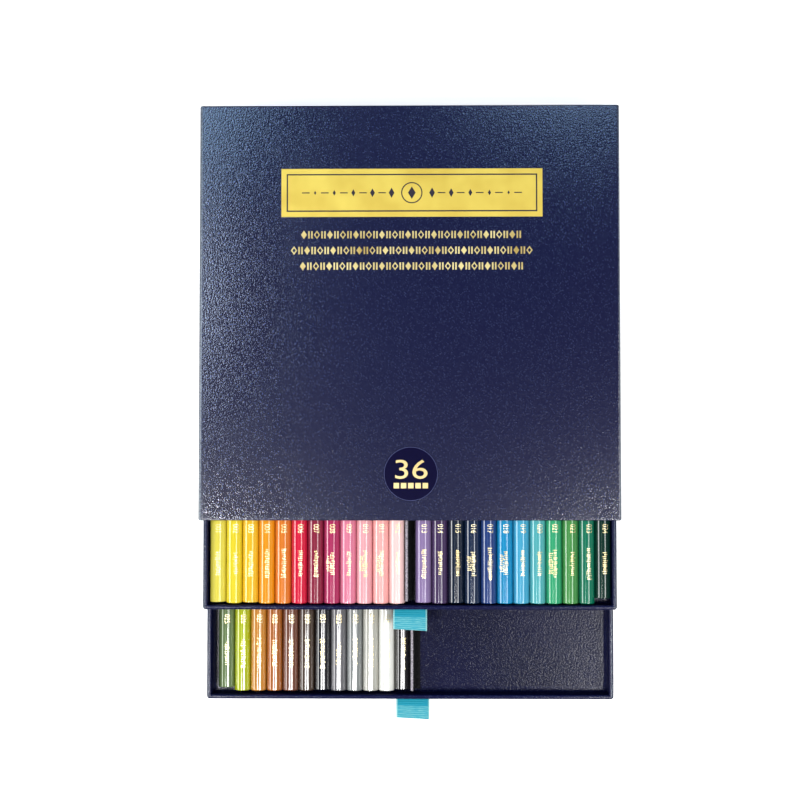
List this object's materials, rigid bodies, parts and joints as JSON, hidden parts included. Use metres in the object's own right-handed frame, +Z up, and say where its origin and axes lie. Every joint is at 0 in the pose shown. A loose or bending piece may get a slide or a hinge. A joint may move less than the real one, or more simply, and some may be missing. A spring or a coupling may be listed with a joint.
{
  "type": "pencil drawer box",
  "caption": "Paper-covered slipcase with two shallow sliding trays on ribbon pulls, holding rows of round colour pencils.",
  "frame": {"origin": "centre of the slipcase's underside, on the surface it lies on", "axes": "+Z up with the box lying flat, -Y the way the drawers slide out, +X to the right of someone facing the mouth"},
  "size_m": [0.187, 0.2748, 0.0305],
  "materials": {
    "greyboard": "raw greyboard",
    "embossed_paper": "leatherette-embossed navy paper",
    "lining_paper": "plain dark lining paper",
    "floor_paper": "embossed navy card",
    "gold_foil": "gold foil on paper",
    "sticker_paper": "gloss navy sticker",
    "ribbon": "turquoise grosgrain ribbon",
    "divider_board": "navy paper-covered board",
    "leads": "coloured pencil lead",
    "lacquer_01": "gloss coloured lacquer over wood",
    "lacquer_02": "gloss coloured lacquer over wood",
    "lacquer_03": "gloss coloured lacquer over wood",
    "lacquer_04": "gloss coloured lacquer over wood",
    "lacquer_05": "gloss coloured lacquer over wood",
    "lacquer_06": "gloss coloured lacquer over wood",
    "lacquer_07": "gloss coloured lacquer over wood",
    "lacquer_08": "gloss coloured lacquer over wood",
    "lacquer_09": "gloss coloured lacquer over wood",
    "lacquer_10": "gloss coloured lacquer over wood",
    "lacquer_11": "gloss coloured lacquer over wood",
    "lacquer_12": "gloss coloured lacquer over wood",
    "lacquer_13": "gloss coloured lacquer over wood",
    "lacquer_14": "gloss coloured lacquer over wood",
    "lacquer_15": "gloss coloured lacquer over wood",
    "lacquer_16": "gloss coloured lacquer over wood",
    "lacquer_17": "gloss coloured lacquer over wood",
    "lacquer_18": "gloss coloured lacquer over wood",
    "lacquer_19": "gloss coloured lacquer over wood",
    "lacquer_20": "gloss coloured lacquer over wood",
    "lacquer_21": "gloss coloured lacquer over wood",
    "lacquer_22": "gloss coloured lacquer over wood",
    "lacquer_23": "gloss coloured lacquer over wood",
    "lacquer_24": "gloss coloured lacquer over wood",
    "lacquer_25": "gloss coloured lacquer over wood",
    "lacquer_26": "gloss coloured lacquer over wood",
    "lacquer_27": "gloss coloured lacquer over wood",
    "lacquer_28": "gloss coloured lacquer over wood",
    "lacquer_29": "gloss coloured lacquer over wood",
    "lacquer_30": "gloss coloured lacquer over wood",
    "lacquer_31": "gloss coloured lacquer over wood",
    "lacquer_32": "gloss coloured lacquer over wood",
    "lacquer_33": "gloss coloured lacquer over wood",
    "lacquer_34": "gloss coloured lacquer over wood",
    "lacquer_35": "gloss coloured lacquer over wood",
    "lacquer_36": "gloss coloured lacquer over wood"
  },
  "bodies": {
    "case": {"top_board": "greyboard", "bottom_board": "greyboard", "side_boards": "greyboard", "rear_board": "greyboard", "shelf_board": "greyboard", "case_cover": "embossed_paper", "case_lining": "lining_paper", "base_sheet": "lining_paper", "title_plate": "gold_foil", "count_sticker": "sticker_paper"},
    "upper_drawer": {"upper_tray_board": "greyboard", "upper_tray_cover": "embossed_paper", "upper_floor_card": "floor_paper", "upper_divider": "divider_board", "upper_ribbon_anchor": "ribbon", "upper_leads": "leads", "pencil_01": "lacquer_01", "pencil_02": "lacquer_02", "pencil_03": "lacquer_03", "pencil_04": "lacquer_04", "pencil_05": "lacquer_05", "pencil_06": "lacquer_06", "pencil_07": "lacquer_07", "pencil_08": "lacquer_08", "pencil_09": "lacquer_09", "pencil_10": "lacquer_10", "pencil_11": "lacquer_11", "pencil_12": "lacquer_12", "pencil_13": "lacquer_13", "pencil_14": "lacquer_14", "pencil_15": "lacquer_15", "pencil_16": "lacquer_16", "pencil_17": "lacquer_17", "pencil_18": "lacquer_18", "pencil_19": "lacquer_19", "pencil_20": "lacquer_20", "pencil_21": "lacquer_21", "pencil_22": "lacquer_22", "pencil_23": "lacquer_23", "pencil_24": "lacquer_24"},
    "upper_ribbon": {"upper_ribbon_loop": "ribbon"},
    "lower_drawer": {"lower_tray_board": "greyboard", "lower_tray_cover": "embossed_paper", "lower_floor_card": "floor_paper", "lower_divider": "divider_board", "lower_ribbon_anchor": "ribbon", "lower_leads": "leads", "pencil_25": "lacquer_25", "pencil_26": "lacquer_26", "pencil_27": "lacquer_27", "pencil_28": "lacquer_28", "pencil_29": "lacquer_29", "pencil_30": "lacquer_30", "pencil_31": "lacquer_31", "pencil_32": "lacquer_32", "pencil_33": "lacquer_33", "pencil_34": "lacquer_34", "pencil_35": "lacquer_35", "pencil_36": "lacquer_36"},
    "lower_ribbon": {"lower_ribbon_loop": "ribbon"}
  },
  "joints": [
    {"name": "upper_drawer_slide", "type": "slide", "parent": "case", "child": "upper_drawer", "axis": [0, -1, 0], "range_m": [-0.0393, 0.1473]},
    {"name": "lower_drawer_slide", "type": "slide", "parent": "case", "child": "lower_drawer", "axis": [0, -1, 0], "range_m": [-0.0806, 0.106]},
    {"name": "upper_ribbon_bend", "type": "hinge", "parent": "upper_drawer", "child": "upper_ribbon", "pos_m": [0.0002, -0.13248, 0.02315], "axis": [-1, 0, 0], "range_deg": [-40, 60], "stiffness_Nm_per_rad": 0.0002},
    {"name": "lower_ribbon_bend", "type": "hinge", "parent": "lower_drawer", "child": "lower_ribbon", "pos_m": [0.0013, -0.17378, 0.0089], "axis": [-1, 0, 0], "range_deg": [-40, 40], "stiffness_Nm_per_rad": 0.0002}
  ]
}
